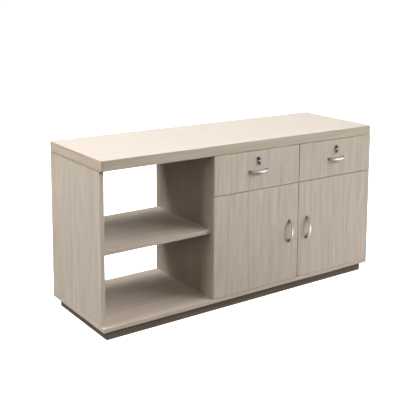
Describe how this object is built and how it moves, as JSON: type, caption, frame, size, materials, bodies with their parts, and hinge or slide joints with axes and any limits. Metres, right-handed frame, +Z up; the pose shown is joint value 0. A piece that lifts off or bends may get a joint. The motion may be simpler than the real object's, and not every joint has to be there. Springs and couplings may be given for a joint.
{
  "type": "office storage cabinet",
  "caption": "Low wood-grain office cabinet with an open shelved bay, locking drawers over hinged doors with bow handles, and a recessed dark plinth.",
  "frame": {"origin": "on the floor, under the middle of the top's footprint", "axes": "+X to the right along the length seen from the front, +Y from the front to the back, +Z up"},
  "size_m": [1.5, 0.527, 0.76],
  "materials": {
    "board_laminate": "matt wood-grain melamine, pale greige",
    "top_laminate": "matt wood-grain melamine, pale greige",
    "plinth_laminate": "matt dark brown melamine",
    "drawer_board": "matt pale grey melamine",
    "thin_board": "matt lacquered fibreboard",
    "dowel_wood": "plain beech",
    "satin_nickel": "satin nickel plate",
    "zinc_steel": "bright zinc plate",
    "hinge_nickel": "nickel plate",
    "lock_chrome": "bright chrome plate",
    "key_steel": "nickel plate",
    "key_plastic": "matt black plastic"
  },
  "bodies": {
    "cabinet": {"top_panel": "top_laminate", "left_side_panel": "board_laminate", "right_side_panel": "board_laminate", "divider_panel": "board_laminate", "bottom_panel": "board_laminate", "open_shelf": "board_laminate", "back_panel": "thin_board", "drawer_deck": "board_laminate", "drawer_partition": "board_laminate", "cupboard_shelf": "board_laminate", "shelf_pins": "zinc_steel", "plinth_front_rail": "plinth_laminate", "plinth_rear_rail": "plinth_laminate", "plinth_end_rails": "plinth_laminate", "plinth_brace": "plinth_laminate", "carcass_dowels": "dowel_wood", "cam_bolts": "zinc_steel", "cam_locks": "zinc_steel", "carcass_screws": "zinc_steel", "hinge_plates": "hinge_nickel", "hinge_arms": "hinge_nickel", "runner_outer_rails": "zinc_steel", "hardware_screws": "zinc_steel", "lock_strikes": "zinc_steel"},
    "left_drawer": {"left_drawer_front": "board_laminate", "left_drawer_sides": "drawer_board", "left_drawer_back": "drawer_board", "left_drawer_bottom": "thin_board", "left_drawer_handle": "satin_nickel", "left_drawer_fixings": "zinc_steel", "left_drawer_inner_rails": "zinc_steel", "left_lock_housing": "lock_chrome"},
    "left_runner_middle": {"left_drawer_middle_rails": "zinc_steel"},
    "left_lock_plug": {"left_lock_plug": "lock_chrome", "left_lock_cam": "zinc_steel", "left_key_blade": "key_steel"},
    "left_key_bow": {"left_key_bow": "key_plastic"},
    "left_door": {"left_door_panel": "board_laminate", "left_door_handle": "satin_nickel", "left_door_fixings": "zinc_steel", "left_door_hinge_cups": "hinge_nickel"},
    "left_hinge_links": {"left_hinge_links": "hinge_nickel"},
    "right_drawer": {"right_drawer_front": "board_laminate", "right_drawer_sides": "drawer_board", "right_drawer_back": "drawer_board", "right_drawer_bottom": "thin_board", "right_drawer_handle": "satin_nickel", "right_drawer_fixings": "zinc_steel", "right_drawer_inner_rails": "zinc_steel", "right_lock_housing": "lock_chrome"},
    "right_runner_middle": {"right_drawer_middle_rails": "zinc_steel"},
    "right_lock_plug": {"right_lock_plug": "lock_chrome", "right_lock_cam": "zinc_steel", "right_key_blade": "key_steel"},
    "right_key_bow": {"right_key_bow": "key_plastic"},
    "right_door": {"right_door_panel": "board_laminate", "right_door_handle": "satin_nickel", "right_door_fixings": "zinc_steel", "right_door_hinge_cups": "hinge_nickel"},
    "right_hinge_links": {"right_hinge_links": "hinge_nickel"}
  },
  "joints": [
    {"name": "left_drawer_slide", "type": "slide", "parent": "cabinet", "child": "left_drawer", "axis": [0, -1, 0], "range_m": [0, 0.35]},
    {"name": "left_runner_slide", "type": "slide", "parent": "cabinet", "child": "left_runner_middle", "axis": [0, -1, 0], "range_m": [0, 0.175]},
    {"name": "left_lock_turn", "type": "hinge", "parent": "left_drawer", "child": "left_lock_plug", "pos_m": [0.03425, -0.2515, 0.678], "axis": [0, -1, 0], "range_deg": [0, 90]},
    {"name": "left_key_fold", "type": "hinge", "parent": "left_lock_plug", "child": "left_key_bow", "pos_m": [0.03425, -0.2565, 0.678], "axis": [-1, 0, 0], "range_deg": [0, 90]},
    {"name": "left_hinge_link_turn", "type": "hinge", "parent": "cabinet", "child": "left_hinge_links", "pos_m": [-0.176, -0.226, 0.29725], "axis": [0, 0, -1], "range_deg": [-30.01, 0]},
    {"name": "left_door_turn", "type": "hinge", "parent": "left_hinge_links", "child": "left_door", "pos_m": [-0.1985, -0.236, 0.29725], "axis": [0, 0, -1], "range_deg": [0, 125]},
    {"name": "right_drawer_slide", "type": "slide", "parent": "cabinet", "child": "right_drawer", "axis": [0, -1, 0], "range_m": [0, 0.35]},
    {"name": "right_runner_slide", "type": "slide", "parent": "cabinet", "child": "right_runner_middle", "axis": [0, -1, 0], "range_m": [0, 0.175]},
    {"name": "right_lock_turn", "type": "hinge", "parent": "right_drawer", "child": "right_lock_plug", "pos_m": [0.5135, -0.2515, 0.678], "axis": [0, -1, 0], "range_deg": [0, 90]},
    {"name": "right_key_fold", "type": "hinge", "parent": "right_lock_plug", "child": "right_key_bow", "pos_m": [0.5135, -0.2565, 0.678], "axis": [-1, 0, 0], "range_deg": [0, 90]},
    {"name": "right_hinge_link_turn", "type": "hinge", "parent": "cabinet", "child": "right_hinge_links", "pos_m": [0.7155, -0.226, 0.29725], "axis": [0, 0, 1], "range_deg": [-30.01, 0]},
    {"name": "right_door_turn", "type": "hinge", "parent": "right_hinge_links", "child": "right_door", "pos_m": [0.738, -0.236, 0.29725], "axis": [0, 0, 1], "range_deg": [0, 125]}
  ],
  "couplings": [
    {"joint": "left_runner_slide", "follows": "left_drawer_slide", "ratio": 0.5},
    {"joint": "left_hinge_link_turn", "follows": "left_door_turn", "ratio": -0.24},
    {"joint": "right_runner_slide", "follows": "right_drawer_slide", "ratio": 0.5},
    {"joint": "right_hinge_link_turn", "follows": "right_door_turn", "ratio": -0.24}
  ]
}
